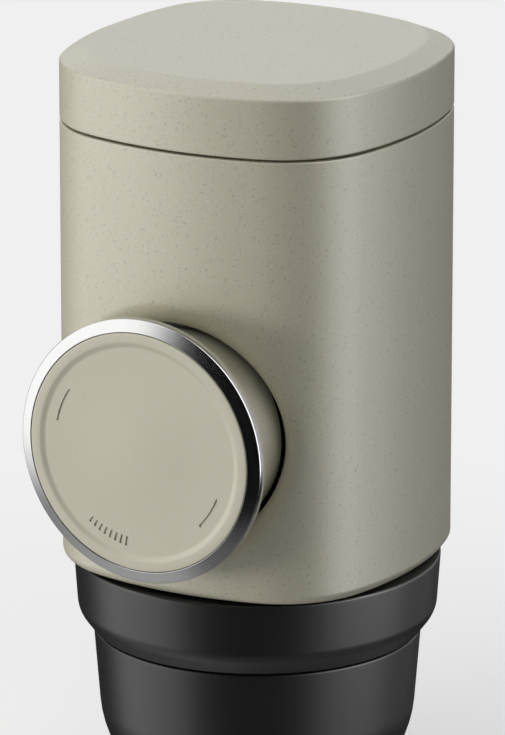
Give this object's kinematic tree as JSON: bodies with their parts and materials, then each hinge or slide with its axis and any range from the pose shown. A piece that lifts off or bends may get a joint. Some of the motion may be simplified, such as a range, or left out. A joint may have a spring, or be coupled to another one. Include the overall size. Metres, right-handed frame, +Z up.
{
  "type": "manual espresso maker",
  "caption": "Handheld manual espresso maker with a side pump knob, screw-on water tank, capsule chamber, screw-on outlet head and push-on cup.",
  "frame": {"origin": "on the body's axis at the flat foot of the cup", "axes": "+Z up along the body's axis to the tank cap, -Y out through the pump knob, +X to the right seen from the knob's side"},
  "size_m": [0.0636, 0.0729, 0.1339],
  "materials": {
    "sand_plastic": "fine matte moulded, speckled",
    "ring_metal": "turned and polished",
    "black_plastic": "satin, fine texture",
    "grey_plastic": "matte moulded",
    "vessel_plastic": "satin moulded",
    "steel": "brushed",
    "seal_rubber": "soft matte"
  },
  "bodies": {
    "housing": {"body_shell": "sand_plastic", "pump_frame": "grey_plastic", "tank_socket": "grey_plastic", "brew_head": "grey_plastic", "pump_cylinder": "steel", "cylinder_gasket": "seal_rubber", "valve_block": "grey_plastic", "inlet_valve_seat": "seal_rubber", "inlet_valve_ball": "steel", "inlet_valve_spring": "steel", "outlet_valve_seat": "seal_rubber", "outlet_valve_ball": "steel", "outlet_valve_spring": "steel", "outlet_valve_plug": "grey_plastic", "inlet_passage_gasket": "seal_rubber", "outlet_passage_gasket": "seal_rubber", "inlet_filter": "steel", "air_valve": "seal_rubber", "knob_guide": "grey_plastic", "guide_screws": "steel", "socket_screws": "steel", "brew_head_screws": "steel", "needle_plate": "steel", "needle_plate_screw": "steel", "brew_seal": "seal_rubber", "return_spring": "steel"},
    "plunger": {"plunger_rod": "steel", "pump_piston": "grey_plastic", "piston_seal": "seal_rubber", "knob_screw": "steel"},
    "knob": {"knob_skirt": "sand_plastic", "knob_ring": "ring_metal", "knob_face": "sand_plastic", "knob_hub": "grey_plastic"},
    "tank_seal": {"tank_gasket": "seal_rubber"},
    "tank": {"tank_cap": "sand_plastic", "tank_vessel": "vessel_plastic"},
    "outlet_seal": {"outlet_gasket": "seal_rubber"},
    "outlet_head": {"outlet_collar": "black_plastic", "outlet_body": "black_plastic", "capsule_holder": "black_plastic", "pierce_plate": "steel", "outlet_spout": "black_plastic", "cup_seal": "seal_rubber"},
    "cup": {"coffee_cup": "black_plastic"}
  },
  "joints": [
    {"name": "pump_stroke", "type": "slide", "parent": "housing", "child": "plunger", "axis": [0, 1, 0], "range_m": [0, 0.0072], "stiffness_N_per_m": 800, "springref_m": -0.004, "deforming": ["return_spring"]},
    {"name": "knob_twist", "type": "hinge", "parent": "plunger", "child": "knob", "pos_m": [0, -0.03, 0.072], "axis": [0, 1, 0], "range_deg": [0, 40]},
    {"name": "tank_lift", "type": "slide", "parent": "housing", "child": "tank_seal", "axis": [0, 0, 1], "range_m": [0, 0.0301]},
    {"name": "tank_twist", "type": "hinge", "parent": "tank_seal", "child": "tank", "pos_m": [0, 0, 0.12], "axis": [0, 0, 1], "range_deg": [0, 900]},
    {"name": "outlet_drop", "type": "slide", "parent": "housing", "child": "outlet_seal", "axis": [0, 0, -1], "range_m": [0, 0.0301]},
    {"name": "outlet_twist", "type": "hinge", "parent": "outlet_seal", "child": "outlet_head", "pos_m": [0, 0, 0.035], "axis": [0, 0, -1], "range_deg": [0, 900]},
    {"name": "cup_pull", "type": "slide", "parent": "outlet_head", "child": "cup", "axis": [0, 0, -1], "range_m": [0, 0.035]}
  ],
  "couplings": [
    {"joint": "tank_lift", "follows": "tank_twist", "m_per_rad": 0.0019099},
    {"joint": "outlet_drop", "follows": "outlet_twist", "m_per_rad": 0.0019099}
  ]
}
